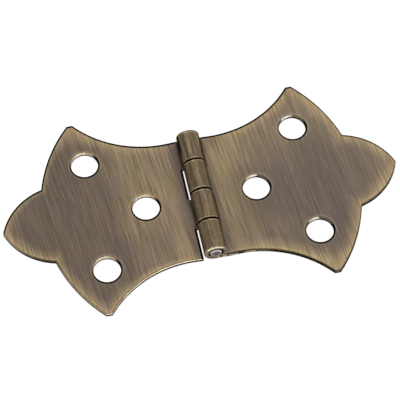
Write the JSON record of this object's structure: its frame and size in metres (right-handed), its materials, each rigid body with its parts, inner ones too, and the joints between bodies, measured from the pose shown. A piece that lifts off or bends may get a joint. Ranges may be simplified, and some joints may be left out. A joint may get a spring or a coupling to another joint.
{
  "type": "decorative butterfly hinge",
  "caption": "Flat surface hinge with flared, lobed leaves of brushed antique brass, rolled knuckles on a loose-turning pin, and plain round screw holes.",
  "frame": {"origin": "on the back plane of the open hinge, below the middle of the pin", "axes": "+X from the pin to the right leaf's tip, +Y along the pin to its far end, +Z out of the show side, up"},
  "size_m": [0.0762, 0.0412, 0.0044],
  "materials": {
    "leaf_brass": "antique brass, brushed along the pin, darker in the middle of each leaf and worn lighter at its edges",
    "pin_steel": "bare, with sheared ends"
  },
  "bodies": {
    "left": {"left_leaf": "leaf_brass", "hinge_pin": "pin_steel"},
    "right": {"right_leaf": "leaf_brass"}
  },
  "joints": [
    {"name": "leaf_fold", "type": "hinge", "parent": "left", "child": "right", "pos_m": [0, 0, 0.0022], "axis": [0, -1, 0], "range_deg": [-90, 180]}
  ]
}
